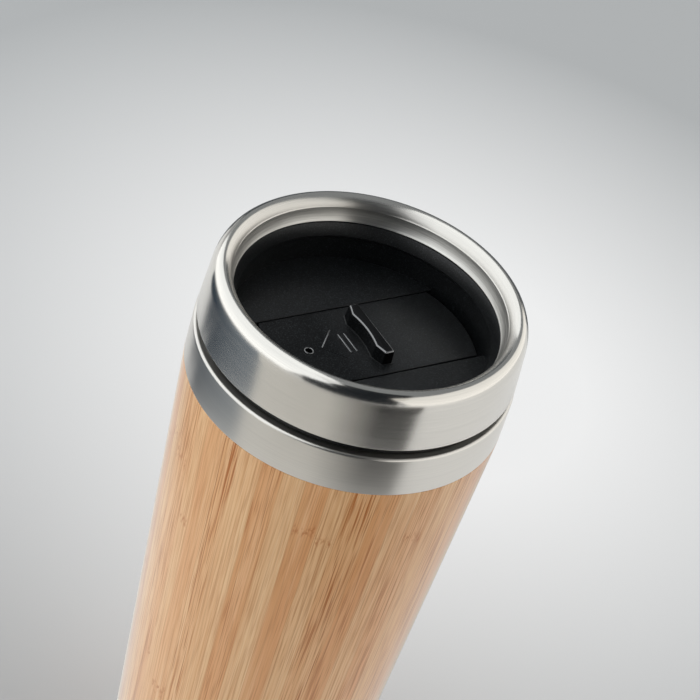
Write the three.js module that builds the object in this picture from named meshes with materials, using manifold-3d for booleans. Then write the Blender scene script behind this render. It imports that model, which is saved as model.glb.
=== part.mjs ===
// Double-walled tumbler: a steel cup in a bamboo sleeve, with a screw lid and a drinking slider.
// Sizes are in millimetres. +Z is up, the tumbler stands on z = 0, and the drinking side is +X.
import * as THREE from 'three';
import { mergeVertices } from 'three/addons/utils/BufferGeometryUtils.js';
import Module from 'manifold-3d';

const wasm = await Module();
wasm.setup();

// Fits shared by all the pieces
const fitGap = 0.3;
const roundSegments = 48;
const arcSteps = 5;
const weldDistance = 1e-4;

// Foot pad and base cap
const footRadius = 27;
const footThickness = 2.2;
const footProud = 1;
const capWeb = 1.2;
const capEdge = 0.8;
const spigotHeight = 4;
const spigotWall = 2;

// Bamboo sleeve and steel outer shell
const bodyRadius = 42.5;
const bodyTaper = 0.056;
const sleeveHeight = 142.7;
const sleeveWall = 2.6;
const sleeveEdge = 0.5;
const shellWall = 0.6;
const shellFloor = 0.8;

// Steel liner
const airGap = 2.8;
const floorGap = 4;
const linerWall = 0.6;
const linerFloor = 0.8;
const linerCorner = 7;
const mouthGap = 0.4;
const mouthStepHeight = 3;
const skirtFootGap = 2;

// Steel collar
const collarHeight = 12;
const collarSheet = 0.9;
const collarEdge = 1.3;

// Screw thread between the lid's skirt and the liner's mouth
const threadStarts = 3;
const threadLead = 12;
const threadDepth = 1.6;
const threadClearance = 0.6;
const threadBase = 2;
const threadTip = 1;
const threadSweep = 112.5;
const threadFade = 12;
const threadFootGap = 2.2;
const threadRootSink = 0.3;

// Lid base: threaded skirt, floor plate, flange and the wall inside the ring
const neckClearance = 0.5;
const neckWall = 1.5;
const skirtDepth = 12;
const skirtWall = 1.6;
const plateThickness = 1.8;
const flangeHeight = 2.3;
const ringWallThickness = 1.4;
const ringWallTopGap = 1;

// Gasket round the skirt
const gasketHeight = 2.3;
const gasketEdge = 0.6;

// Steel lid ring
const ringSetback = 0.3;
const ringDraft = 0.7;
const ringHeight = 16.3;
const ringSheet = 0.8;
const shoulderHeight = 5.3;
const shoulderWidth = 2.8;
const crestWidth = 1.75;
const crestDrop = 2;
const crestTurn = 148;
const creaseSetback = 2.1;
const creaseDrop = 3.5;
const lipWidth = 1.7;
const lipDrop = 6.6;

// Lid tray
const trayWall = 1.5;
const trayFloorRise = 1.4;
const trayFloor = 2.8;
const trayConeHeight = 2.7;
const trayLedge = 1.6;
const slotOvercut = 0.2;
const grooveEndGap = 0.6;

// Slider
const stripHalfWidth = 13;
const stripEndGap = 1.4;
const stripTailGap = 0.5;
const tongueReach = 1.2;
const tongueThickness = 0.9;
const tongueEndInset = 1;
const endSteps = 10;
const ventRadius = 1;
const ventOffset = -14.6;
const ventSides = 16;

// Thumb bar on the slider
const thumbLength = 19.8;
const thumbFace = 4.8;
const thumbHeight = 3.9;
const thumbEndWidth = 3.1;
const thumbLobeWidth = 4.3;
const thumbHollowWidth = 3.3;
const thumbLobeOffset = 6.4;
const thumbCurveSteps = 4;

// Raised arrow on the slider
const arrowTip = -10.7;
const arrowTail = -5.1;
const arrowHalfWidth = 5.7;
const arrowBars = [-3.85, -2.05];
const arrowBarHalfLength = 3.6;
const arrowLine = 0.45;
const arrowRelief = 0.25;

// Drink hole and its seal
const drinkLand = 2.4;
const drinkDepth = 5;
const drinkHalfAngle = 15;
const drinkMargin = 0.8;
const sealLand = 1.2;
const sealThickness = 1.2;
const sealRunGap = 0.2;

// Heights, stacked from the table upwards
const footRecess = footThickness - footProud + fitGap;
const capBottom = footProud;
const capTop = capBottom + footRecess + capWeb;
const sleeveBottom = capTop + fitGap;
const sleeveTop = sleeveBottom + sleeveHeight;
const shellBottom = capTop + spigotHeight + fitGap;
const linerBottom = shellBottom + shellFloor + floorGap;
const collarBottom = sleeveTop + fitGap;
const collarTop = collarBottom + collarHeight;
const linerTop = collarTop - collarSheet - fitGap;
const shellTop = linerTop - linerWall - fitGap;
const flangeBottom = collarTop + fitGap;
const flangeTop = flangeBottom + flangeHeight;
const ringBottom = flangeTop + fitGap;
const ringTop = ringBottom + ringHeight;
const shoulderStart = ringTop - shoulderHeight;
const trayFloorTop = collarTop + trayFloorRise;
const trayBottom = trayFloorTop - trayFloor;
const plateTop = trayBottom - fitGap;
const plateBottom = plateTop - plateThickness;
const skirtBottom = plateBottom - skirtDepth;
const mouthStepTop = skirtBottom - skirtFootGap;
const trayTop = ringTop - lipDrop - fitGap;

// Radii of the tapered walls at a height
const sleeveRadiusAt = (z) => bodyRadius - bodyTaper * (sleeveTop - z);
const boreRadiusAt = (z) => sleeveRadiusAt(z) - sleeveWall;
const shellRadiusAt = (z) => boreRadiusAt(z) - fitGap;
const shellInnerAt = (z) => shellRadiusAt(z) - shellWall;
const linerRadiusAt = (z) => shellInnerAt(z) - airGap;

// Radii of the mouth and the lid, worked inwards from the shell
const mouthOuter = shellInnerAt(mouthStepTop) - mouthGap;
const mouthInner = mouthOuter - linerWall;
const neckOuter = mouthInner - neckClearance;
const neckInner = neckOuter - neckWall;
const trayOuter = neckInner - fitGap;
const trayInner = trayOuter - trayWall;
const maleCrest = mouthInner - threadClearance;
const skirtOuter = maleCrest - threadDepth;
const skirtInner = skirtOuter - skirtWall;
const femaleCrest = mouthInner - threadDepth;
const ringRadius = bodyRadius - ringSetback;
const ringWallOuter = ringRadius - ringDraft - ringSheet - fitGap;
const crestRadius = ringRadius - ringDraft - shoulderWidth;
const creaseRadius = crestRadius - creaseSetback;
const lipRadius = creaseRadius - lipWidth;

// Slider sizes that follow from the tray and the drink hole
const stripEndRadius = trayInner - stripEndGap;
const stripTailRadius = trayInner - stripTailGap;
const drinkOuter = stripEndRadius - drinkLand;
const drinkInner = drinkOuter - drinkDepth;
const sliderTravel = drinkLand + drinkDepth + drinkMargin;
const sealHalfAngle = drinkHalfAngle + THREE.MathUtils.radToDeg(sealLand / drinkInner);

// Materials
const finish = (color, roughness, metalness) => new THREE.MeshStandardMaterial({ color, roughness, metalness });
const brushedSteel = () => finish(0xc9c8c3, 0.32, 1);
const bamboo = () => finish(0xd9b184, 0.6, 0);
const blackPlastic = () => finish(0x17181a, 0.5, 0);
const silicone = () => finish(0x2c2d2f, 0.7, 0);

// A closed solid from any geometry, with shared corners welded and flat slivers on the axis left out
function solidFrom(geometry) {
  geometry.deleteAttribute('normal');
  geometry.deleteAttribute('uv');
  const welded = mergeVertices(geometry, weldDistance);
  const corners = welded.index.array;
  const faces = [];
  for (let i = 0; i < corners.length; i += 3) {
    const [a, b, c] = corners.slice(i, i + 3);
    if (a !== b && b !== c && c !== a) {
      faces.push(a, b, c);
    }
  }
  return new wasm.Manifold(
    new wasm.Mesh({
      numProp: 3,
      vertProperties: welded.attributes.position.array,
      triVerts: new Uint32Array(faces),
    }),
  );
}

function geometryFrom(solid) {
  const { vertProperties, triVerts } = solid.getMesh();
  const geometry = new THREE.BufferGeometry();
  geometry.setAttribute('position', new THREE.BufferAttribute(vertProperties, 3));
  geometry.setIndex(new THREE.BufferAttribute(triVerts, 1));
  geometry.computeVertexNormals();
  return geometry;
}

// A turned piece from [radius, height] points, counter-clockwise with the axis on the left
function turned(profile) {
  const points = profile.map(([radius, height]) => new THREE.Vector2(radius, height));
  const closed = profile[0][0] > 0 ? [...points, points[0]] : points;
  const lathe = new THREE.LatheGeometry(closed, roundSegments);
  return solidFrom(lathe.rotateX(Math.PI / 2));
}

// An upright prism over an outline of Vector2 points or a Shape
function prism(outline, bottom, top, curveSegments = 1) {
  const shape = outline instanceof THREE.Shape ? outline : new THREE.Shape(outline);
  const block = new THREE.ExtrudeGeometry(shape, { depth: top - bottom, bevelEnabled: false, curveSegments });
  return solidFrom(block.translate(0, 0, bottom));
}

// Points of an elliptical arc about a centre, for a profile
function arc(radius, height, width, rise, fromDegrees, toDegrees) {
  const points = [];
  for (let step = 0; step <= arcSteps; step += 1) {
    const degrees = fromDegrees + ((toDegrees - fromDegrees) * step) / arcSteps;
    const angle = THREE.MathUtils.degToRad(degrees);
    points.push([radius + width * Math.cos(angle), height + rise * Math.sin(angle)]);
  }
  return points;
}

// One start of the thread: a trapezoid carried round the axis, fading into its root at both ends
function threadRidge(rootRadius, fullCrest, startAngle, startHeight) {
  const steps = Math.round((roundSegments * threadSweep) / 360);
  const outwards = Math.sign(fullCrest - rootRadius);
  const sunkRadius = rootRadius - outwards * threadRootSink;
  const hiddenCrest = (rootRadius + sunkRadius) / 2;
  const positions = [];
  const faces = [];
  for (let step = 0; step <= steps; step += 1) {
    const degrees = (threadSweep * step) / steps;
    const fade = Math.min(1, degrees / threadFade, (threadSweep - degrees) / threadFade);
    const crest = hiddenCrest + (fullCrest - hiddenCrest) * fade;
    const middle = startHeight + (threadLead * degrees) / 360;
    const angle = THREE.MathUtils.degToRad(startAngle + degrees);
    const section = [
      [sunkRadius, middle - threadBase / 2],
      [crest, middle - threadTip / 2],
      [crest, middle + threadTip / 2],
      [sunkRadius, middle + threadBase / 2],
    ];
    for (const [radius, height] of section) {
      positions.push(radius * Math.cos(angle), radius * Math.sin(angle), height);
    }
  }
  const corners = positions.length / (3 * (steps + 1));
  for (let step = 0; step < steps; step += 1) {
    for (let corner = 0; corner < corners; corner += 1) {
      const next = (corner + 1) % corners;
      const a = step * corners + corner;
      const b = step * corners + next;
      faces.push(a, b, b + corners, a, b + corners, a + corners);
    }
  }
  const last = steps * corners;
  faces.push(0, 2, 1, 0, 3, 2, last, last + 1, last + 2, last, last + 2, last + 3);
  if (outwards > 0) {
    faces.reverse();
  }
  const geometry = new THREE.BufferGeometry();
  geometry.setAttribute('position', new THREE.Float32BufferAttribute(positions, 3));
  geometry.setIndex(faces);
  return solidFrom(geometry);
}

// The ridge's steps meet the turned wall between the wall's own edges, half a facet round
function withThread(solid, rootRadius, fullCrest, startHeight) {
  const halfFacet = 180 / roundSegments;
  let threaded = solid;
  for (let start = 0; start < threadStarts; start += 1) {
    const startAngle = (360 * start) / threadStarts + halfFacet;
    threaded = threaded.add(threadRidge(rootRadius, fullCrest, startAngle, startHeight));
  }
  return threaded;
}

// The strip's outline: straight sides, an arc at the drinking end and another at the tail
function stripOutline(halfWidth, endRadius, tailRadius, tailShift) {
  const outline = [];
  const ends = [
    { radius: endRadius, turn: 0, shift: 0 },
    { radius: tailRadius, turn: Math.PI, shift: tailShift },
  ];
  for (const { radius, turn, shift } of ends) {
    const reach = Math.asin(halfWidth / radius);
    for (let step = 0; step <= endSteps; step += 1) {
      const angle = turn + reach * ((2 * step) / endSteps - 1);
      outline.push(new THREE.Vector2(radius * Math.cos(angle) + shift, radius * Math.sin(angle)));
    }
  }
  return outline;
}

// A part of a ring, centred on +X
function sectorOutline(innerRadius, outerRadius, halfDegrees) {
  const half = THREE.MathUtils.degToRad(halfDegrees);
  const shape = new THREE.Shape();
  shape.absarc(0, 0, outerRadius, -half, half, false);
  shape.absarc(0, 0, innerRadius, half, -half, true);
  return shape;
}

function roundHole(x, bottom, top) {
  const drill = new THREE.CylinderGeometry(ventRadius, ventRadius, top - bottom, ventSides);
  return solidFrom(drill.rotateX(Math.PI / 2).translate(x, 0, (bottom + top) / 2));
}

// Body pieces

function makeFootPad() {
  return turned([
    [0, 0],
    [footRadius, 0],
    [footRadius, footThickness],
    [0, footThickness],
  ]);
}

function makeBaseCap() {
  const rim = sleeveRadiusAt(sleeveBottom);
  const spigotOuter = boreRadiusAt(sleeveBottom) - fitGap;
  const recessRadius = footRadius + fitGap;
  const recessTop = capBottom + footRecess;
  return turned([
    [0, recessTop],
    [recessRadius, recessTop],
    [recessRadius, capBottom],
    [rim - capEdge, capBottom],
    [rim, capBottom + capEdge],
    [rim, capTop],
    [spigotOuter, capTop],
    [spigotOuter, capTop + spigotHeight],
    [spigotOuter - spigotWall, capTop + spigotHeight],
    [spigotOuter - spigotWall, capTop],
    [0, capTop],
  ]);
}

function makeBambooSleeve() {
  return turned([
    [boreRadiusAt(sleeveBottom), sleeveBottom],
    [sleeveRadiusAt(sleeveBottom) - sleeveEdge, sleeveBottom],
    [sleeveRadiusAt(sleeveBottom + sleeveEdge), sleeveBottom + sleeveEdge],
    [sleeveRadiusAt(sleeveTop - sleeveEdge), sleeveTop - sleeveEdge],
    [sleeveRadiusAt(sleeveTop) - sleeveEdge, sleeveTop],
    [boreRadiusAt(sleeveTop), sleeveTop],
  ]);
}

function makeOuterShell() {
  return turned([
    [0, shellBottom],
    [shellRadiusAt(shellBottom), shellBottom],
    [shellRadiusAt(shellTop), shellTop],
    [shellInnerAt(shellTop), shellTop],
    [shellInnerAt(shellBottom + shellFloor), shellBottom + shellFloor],
    [0, shellBottom + shellFloor],
  ]);
}

function makeInnerLiner() {
  const mouthStepBottom = mouthStepTop - mouthStepHeight;
  const cornerTop = linerBottom + linerCorner;
  const bottomCorner = arc(linerRadiusAt(cornerTop) - linerCorner, cornerTop, linerCorner, linerCorner, -90, 0);
  const insideCorner = arc(
    linerRadiusAt(cornerTop) - linerCorner,
    cornerTop,
    linerCorner - linerWall,
    linerCorner - linerFloor,
    0,
    -90,
  );
  const cup = turned([
    [0, linerBottom],
    ...bottomCorner,
    [linerRadiusAt(mouthStepBottom), mouthStepBottom],
    [mouthOuter, mouthStepTop],
    [mouthOuter, linerTop - linerWall],
    [shellRadiusAt(shellTop), linerTop - linerWall],
    [shellRadiusAt(shellTop), linerTop],
    [mouthInner, linerTop],
    [mouthInner, mouthStepTop],
    [linerRadiusAt(mouthStepBottom) - linerWall, mouthStepBottom],
    ...insideCorner,
    [0, linerBottom + linerFloor],
  ]);
  const pitch = threadLead / threadStarts;
  const startHeight = skirtBottom + threadFootGap + pitch / 2;
  return withThread(cup, mouthInner, femaleCrest, startHeight);
}

function makeRimCollar() {
  const inside = bodyRadius - collarSheet;
  const edgeCentre = bodyRadius - collarEdge;
  const innerEdge = collarEdge - collarSheet;
  return turned([
    [inside, collarBottom],
    [bodyRadius, collarBottom],
    ...arc(edgeCentre, collarTop - collarEdge, collarEdge, collarEdge, 0, 90),
    [mouthInner, collarTop],
    [mouthInner, collarTop - collarSheet],
    ...arc(edgeCentre, collarTop - collarEdge, innerEdge, innerEdge, 90, 0),
  ]);
}

// Lid pieces

function makeLidBase() {
  const blank = turned([
    [0, plateBottom],
    [skirtInner, plateBottom],
    [skirtInner, skirtBottom],
    [skirtOuter, skirtBottom],
    [skirtOuter, plateBottom],
    [neckOuter, plateBottom],
    [neckOuter, flangeBottom],
    [ringWallOuter, flangeBottom],
    [ringWallOuter, shoulderStart - ringWallTopGap],
    [ringWallOuter - ringWallThickness, shoulderStart - ringWallTopGap],
    [ringWallOuter - ringWallThickness, flangeTop],
    [neckInner, flangeTop],
    [neckInner, plateTop],
    [0, plateTop],
  ]);
  const startHeight = skirtBottom + threadFootGap;
  const threaded = withThread(blank, skirtOuter, maleCrest, startHeight);
  const throughBottom = plateBottom - fitGap;
  const throughTop = plateTop + fitGap;
  const drinkHole = prism(
    sectorOutline(drinkInner, drinkOuter, drinkHalfAngle),
    throughBottom,
    throughTop,
    endSteps,
  );
  const ventHole = roundHole(ventOffset - sliderTravel, throughBottom, throughTop);
  return threaded.subtract(drinkHole).subtract(ventHole);
}

function makeLidGasket() {
  const inner = skirtOuter + fitGap;
  const outer = mouthInner - fitGap;
  const top = plateBottom - fitGap;
  const bottom = top - gasketHeight;
  return turned([
    [inner, bottom],
    [outer - gasketEdge, bottom],
    [outer, bottom + gasketEdge],
    [outer, top - gasketEdge],
    [outer - gasketEdge, top],
    [inner, top],
  ]);
}

// One side of the ring's sheet, from its lower edge over the crest to the end of the inner lip
function ringSide(inset) {
  return [
    [ringRadius - inset, ringBottom],
    ...arc(crestRadius, shoulderStart, shoulderWidth - inset, shoulderHeight - inset, 0, 90),
    ...arc(crestRadius, ringTop - crestDrop, crestWidth - inset, crestDrop - inset, 90, crestTurn).slice(1),
    [creaseRadius + inset, ringTop - creaseDrop],
    [lipRadius + inset, ringTop - lipDrop],
  ];
}

function makeLidRing() {
  return turned([...ringSide(0), ...ringSide(ringSheet).reverse()]);
}

function makeLidTray() {
  const coneStart = trayTop - trayConeHeight;
  const blank = turned([
    [0, trayBottom],
    [trayOuter, trayBottom],
    [trayOuter, coneStart],
    [lipRadius + trayLedge, trayTop],
    [lipRadius, trayTop],
    [trayInner, coneStart],
    [trayInner, trayFloorTop],
    [0, trayFloorTop],
  ]);
  const slotRadius = trayInner + slotOvercut;
  const slotHalfWidth = stripHalfWidth + fitGap;
  const grooveHalfWidth = stripHalfWidth + tongueReach + fitGap;
  const slot = prism(
    stripOutline(slotHalfWidth, slotRadius, slotRadius, 0),
    trayBottom - fitGap,
    trayFloorTop + fitGap,
  );
  const grooveRadius = slotRadius - grooveEndGap;
  const grooves = prism(
    stripOutline(grooveHalfWidth, grooveRadius, grooveRadius, 0),
    trayBottom - fitGap,
    trayBottom + tongueThickness + fitGap,
  );
  return blank.subtract(slot).subtract(grooves);
}

function thumbOutline() {
  const half = thumbLength / 2;
  const end = thumbFace - thumbEndWidth;
  const lobe = thumbFace - thumbLobeWidth;
  const shape = new THREE.Shape();
  shape.moveTo(thumbFace, -half);
  shape.lineTo(thumbFace, half);
  shape.lineTo(end, half);
  shape.splineThru([
    new THREE.Vector2(lobe, thumbLobeOffset),
    new THREE.Vector2(thumbFace - thumbHollowWidth, 0),
    new THREE.Vector2(lobe, -thumbLobeOffset),
    new THREE.Vector2(end, -half),
  ]);
  return shape;
}

// A raised line of the arrow, from one point of the strip to another
function arrowRib(fromX, fromY, toX, toY) {
  const from = new THREE.Vector2(fromX, fromY);
  const to = new THREE.Vector2(toX, toY);
  const run = to.clone().sub(from).normalize();
  const side = new THREE.Vector2(-run.y, run.x).multiplyScalar(arrowLine / 2);
  const outline = [from.clone().sub(side), to.clone().sub(side), to.clone().add(side), from.clone().add(side)];
  return prism(outline, trayFloorTop - fitGap, trayFloorTop + arrowRelief);
}

function makeSlider() {
  const strip = prism(
    stripOutline(stripHalfWidth, stripEndRadius, stripTailRadius, sliderTravel),
    trayBottom,
    trayFloorTop,
  );
  const tongues = prism(
    stripOutline(
      stripHalfWidth + tongueReach,
      stripEndRadius - tongueEndInset,
      stripTailRadius - tongueEndInset,
      sliderTravel,
    ),
    trayBottom,
    trayBottom + tongueThickness,
  );
  const thumbBar = prism(thumbOutline(), trayFloorTop - fitGap, trayFloorTop + thumbHeight, thumbCurveSteps);
  let slider = strip.add(tongues).add(thumbBar);
  for (const side of [-1, 1]) {
    slider = slider.add(arrowRib(arrowTip, 0, arrowTail, side * arrowHalfWidth));
  }
  for (const bar of arrowBars) {
    slider = slider.add(arrowRib(bar, -arrowBarHalfLength, bar, arrowBarHalfLength));
  }
  const recessAngle = sealHalfAngle + THREE.MathUtils.radToDeg(fitGap / drinkInner);
  const recess = prism(
    sectorOutline(drinkInner - sealLand - fitGap, drinkOuter + sealLand + fitGap, recessAngle),
    trayBottom - fitGap,
    plateTop + sealRunGap + sealThickness + fitGap,
    endSteps,
  );
  const ventHole = roundHole(ventOffset, trayBottom - fitGap, trayFloorTop + fitGap);
  return slider.subtract(recess).subtract(ventHole);
}

function makeSliderSeal() {
  const bottom = plateTop + sealRunGap;
  const outline = sectorOutline(drinkInner - sealLand, drinkOuter + sealLand, sealHalfAngle);
  return prism(outline, bottom, bottom + sealThickness, endSteps);
}

function piece(name, solid, material) {
  const mesh = new THREE.Mesh(geometryFrom(solid), material);
  mesh.name = name;
  return mesh;
}

const body = new THREE.Group();
body.add(
  piece('foot_pad', makeFootPad(), silicone()),
  piece('base_cap', makeBaseCap(), brushedSteel()),
  piece('bamboo_sleeve', makeBambooSleeve(), bamboo()),
  piece('outer_shell', makeOuterShell(), brushedSteel()),
  piece('inner_liner', makeInnerLiner(), brushedSteel()),
  piece('rim_collar', makeRimCollar(), brushedSteel()),
);

const lid = new THREE.Group();
lid.add(
  piece('lid_base', makeLidBase(), blackPlastic()),
  piece('lid_gasket', makeLidGasket(), silicone()),
  piece('lid_ring', makeLidRing(), brushedSteel()),
  piece('lid_tray', makeLidTray(), blackPlastic()),
  piece('slider', makeSlider(), blackPlastic()),
  piece('slider_seal', makeSliderSeal(), silicone()),
);

const tumbler = new THREE.Group();
tumbler.add(body, lid);

export default tumbler;
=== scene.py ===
# Looks of the double-walled tumbler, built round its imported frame.
# Sizes are in millimetres, and become metres where a mesh is made.
import math

import bmesh
import bpy
from mathutils import Matrix, Vector


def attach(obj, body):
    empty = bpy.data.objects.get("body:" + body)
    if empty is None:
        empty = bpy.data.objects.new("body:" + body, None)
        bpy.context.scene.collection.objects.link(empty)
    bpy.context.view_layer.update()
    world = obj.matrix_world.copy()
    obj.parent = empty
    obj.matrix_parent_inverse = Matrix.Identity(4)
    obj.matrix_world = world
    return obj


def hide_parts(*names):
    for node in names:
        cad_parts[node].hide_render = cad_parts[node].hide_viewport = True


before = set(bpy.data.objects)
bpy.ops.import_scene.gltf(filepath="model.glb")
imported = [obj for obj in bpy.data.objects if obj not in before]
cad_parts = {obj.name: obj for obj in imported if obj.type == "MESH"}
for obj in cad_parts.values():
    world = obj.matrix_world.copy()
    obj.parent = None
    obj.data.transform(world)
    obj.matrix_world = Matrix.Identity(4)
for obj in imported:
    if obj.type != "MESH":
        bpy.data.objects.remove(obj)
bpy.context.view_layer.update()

MM = 0.001
ROUND_STEPS = 192
ARC_STEPS = 12
SHARP_DEGREES = 32
MERGE_DISTANCE = 0.002
FIT_GAP = 0.3
CUT_PAST = 1
NEAR = 0.01

# Foot, cap and sleeve
FOOT_RADIUS = 27
FOOT_TOP = 2.2
FOOT_EDGE = 0.5
FOOT_GROOVES = (16, 19, 22)
FOOT_GROOVE_WIDTH = 1.6
FOOT_GROOVE_DEPTH = 0.35
CAP_BOTTOM = 1
CAP_RECESS_TOP = 2.5
CAP_TOP = 3.7
CAP_EDGE = 0.8
SPIGOT_TOP = 7.7
SPIGOT_WALL = 2
BODY_RADIUS = 42.5
BODY_TAPER = 0.056
SLEEVE_BOTTOM = 4
SLEEVE_TOP = 146.95
SLEEVE_WALL = 2.6
SLEEVE_EDGE = 0.35
BAMBOO_STRIPS = 44
NODE_SPACING = 95

# Liner and collar
LINER_BOTTOM = 12.8
LINER_FLOOR = 0.8
LINER_WALL = 0.6
LINER_INSET = 6.3
LINER_CORNER = 7
LINER_TOP = 157.8
MOUTH_OUTER = 38.309
MOUTH_INNER = 37.709
MOUTH_STEP_BOTTOM = 138.5
MOUTH_STEP_TOP = 141.5
LINER_LIP_RADIUS = 40.15
COLLAR_BOTTOM = 147
COLLAR_TOP = 159
COLLAR_SHEET = 0.9
COLLAR_EDGE = 0.8
SHEET_EDGE = 0.2

# Screw thread
THREAD_STARTS = 3
THREAD_LEAD = 12
THREAD_BASE = 2
THREAD_TIP = 1
THREAD_SWEEP = 112.5
THREAD_FADE = 12
THREAD_SINK = 0.3
THREAD_STEPS = 60
THREAD_TURN = 3.75
MALE_CREST = 37.109
FEMALE_CREST = 36.109
MALE_START = 145.7
FEMALE_START = 147.7

# Lid base and gasket
SKIRT_BOTTOM = 143.5
SKIRT_OUTER = 35.509
SKIRT_INNER = 33.909
SKIRT_EDGE = 0.5
PLATE_BOTTOM = 155.5
PLATE_TOP = 157.3
NECK_OUTER = 37.209
NECK_INNER = 35.709
FLANGE_BOTTOM = 159.3
FLANGE_TOP = 161.6
FLANGE_EDGE = 0.4
RING_WALL_OUTER = 40.4
RING_WALL_INNER = 39
RING_WALL_TOP = 171.9
GASKET_BOTTOM = 152.9
GASKET_TOP = 155.2
GASKET_LIPS = 2
GASKET_LIP_REACH = 0.6
GASKET_LIP_SHARE = 0.98

# Lid ring
RING_RADIUS = 42.2
RING_BOTTOM = 161.9
RING_TOP = 178.2
RING_SHEET = 0.8
SHOULDER_START = 172.9
SHOULDER_WIDTH = 2.8
SHOULDER_HEIGHT = 5.3
CREST_RADIUS = 38.7
CREST_WIDTH = 1.75
CREST_DROP = 2
CREST_TURN = 112
SLOPE_BOW = 0.27
CREASE_RADIUS = 36.05
CREASE_HEIGHT = 175.75
CREASE_DEPTH = 0.25
LIP_RADIUS = 34.9
LIP_BOTTOM = 171.6
LIP_BEND = ((0.08, 0.2), (0, 0.1), (0.15, 0))
BAND_STEP = 0.05
BAND_SAG = 0.3
BAND_REACH = 0.02

# Ways along the ring's profile, from its lower edge
SHOULDER_WAY = 11
CREST_WAY = 18.4
BUFFED_FADE = 3
BUFFED_SHARE = 0.64
CREST_FADE = 1.2
INSIDE_SHARE = 1.35

# Lid tray
TRAY_OUTER = 35.409
TRAY_INNER = 33.909
TRAY_BOTTOM = 157.6
TRAY_FLOOR = 160.4
TRAY_CONE_START = 168.6
TRAY_TOP = 171.3
TRAY_LEDGE = 1.6
TRAY_EDGE = 0.25
TRAY_RIB = 0.55
TRAY_RIB_TOP = 0.5
TRAY_RIB_BOTTOM = 0.8
TRAY_RIB_FOOT = 1.4
FLOOR_OVERLAP = 0.1

# Slider
STRIP_HALF_WIDTH = 13
STRIP_END_RADIUS = 32.1
STRIP_TAIL_RADIUS = 33.409
STRIP_TAIL_SHIFT = 8.2
STRIP_EDGE = 0.25
TONGUE_REACH = 1.2
TONGUE_THICKNESS = 0.9
TONGUE_INSET = 1
TONGUE_ROOT = 0.5
VENT_RADIUS = 0.9
VENT_OFFSET = -14.6
VENT_BEAD = 0.22
VENT_BEAD_SINK = 0.05
LID_VENT_OFFSET = -22.8
THUMB_FACE = 4.8
THUMB_HALF_LENGTH = 9.9
THUMB_HEIGHT = 3.9
THUMB_END = 1.7
THUMB_LOBE = 0.45
THUMB_HOLLOW = 1.35
THUMB_LOBE_OFFSET = 6.4
THUMB_DRAFT = 0.5
THUMB_END_DRAFT = 0.25
THUMB_EDGE = 0.45
THUMB_SINK = 0.3
THUMB_END_FACE = 0.3
THUMB_CORNER_DEGREES = 50
UPRIGHT_NORMAL = 0.3
THUMB_FOOT = 0.3
THUMB_FOOT_HEIGHT = 0.15
THUMB_FOOT_EDGE = 0.1
THUMB_STEPS = 40
ARROW_TIP = -10.7
ARROW_TAIL = -5.1
ARROW_HALF_WIDTH = 5.7
ARROW_BARS = (-3.85, -2.05)
ARROW_BAR_HALF = 3.6
ARROW_LINE = 0.6
ARROW_ARM = 0.4
ARROW_RELIEF = 0.24
ARROW_WORN_RELIEF = 0.08
ARROW_EDGE = 0.14
RAISED_SINK = 0.2

# Order of the slider's materials
RUBBED = 1
SMOOTH = 2

# Drink hole and seal
DRINK_INNER = 25.109
DRINK_OUTER = 30.109
DRINK_HALF_ANGLE = 15
SEAL_LAND = 1.5
SEAL_HALF_ANGLE = 18.5
SEAL_TOP = 159

# Camera, in the photograph's frame
IMAGE_WIDTH = 700
SENSOR_WIDTH = 36
FOCAL_PIXELS = 2700
CAMERA_PLACE = (-359.0, -407.0, 588.0)
CAMERA_AIM = (0.5168, 0.5883, -0.6219)
CAMERA_ROLL = 17.65
CAMERA_AZIMUTH = -131.4

# Studio, in metres
FLOOR_SIZE = 8
FLOOR_GLOW = 0.6
# Centre and reach of the pool of light painted on the floor for the camera.
BRIGHT_PATCH = (0.152, 0.136, 0)
PATCH_INNER = 0.06
PATCH_OUTER = 0.225
PAPER_ROUGHNESS = 0.9
PAPER_GLOSS = 0.1
FLAG_DISTANCE = 1.7
FLAG_LIFT = 0.001
SOFTBOX_DISTANCE = 1.05
LIGHT_AIM = 0.15


def sleeve_radius(height):
    return BODY_RADIUS - BODY_TAPER * max(0, COLLAR_BOTTOM - FIT_GAP - height)


def liner_radius(height):
    return sleeve_radius(height) - LINER_INSET


# Meshes


def arc(radius, height, width, rise, start, end, steps=ARC_STEPS):
    """Points of an elliptical arc in a profile, from one angle to another."""
    points = []
    for step in range(steps + 1):
        angle = math.radians(start + (end - start) * step / steps)
        points.append((radius + width * math.cos(angle), height + rise * math.sin(angle)))
    return points


def bowed(start, end, sag, steps=10):
    """Points along a shallow bow from one point of a profile to another."""
    run = Vector(end) - Vector(start)
    side = Vector((-run.y, run.x)).normalized() * sag
    points = []
    for step in range(steps + 1):
        way = step / steps
        points.append(tuple(Vector(start) + run * way + side * 4 * way * (1 - way)))
    return points


def add_turned(shape, profile, closed=True):
    """Spins a profile of (radius, height) points round the axis, and keeps the way along it."""
    along = shape.verts.layers.float["along"]
    verts = []
    travelled = 0
    for index, (radius, height) in enumerate(profile):
        if index:
            before = profile[index - 1]
            travelled += math.dist(before, (radius, height))
        vert = shape.verts.new((radius * MM, 0, height * MM))
        vert[along] = travelled
        verts.append(vert)
    edges = [shape.edges.new(pair) for pair in zip(verts, verts[1:])]
    if closed:
        edges.append(shape.edges.new((verts[-1], verts[0])))
    bmesh.ops.spin(
        shape,
        geom=verts + edges,
        cent=(0, 0, 0),
        axis=(0, 0, 1),
        angle=math.tau,
        steps=ROUND_STEPS,
        use_merge=True,
    )


def new_shape():
    shape = bmesh.new()
    shape.verts.layers.float.new("along")
    return shape


def mesh_of(shape, name, *materials):
    """Makes a mesh of a shape, and frees the shape."""
    mesh = bpy.data.meshes.new(name)
    shape.to_mesh(mesh)
    shape.free()
    for material in materials:
        mesh.materials.append(material)
    return mesh


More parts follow.
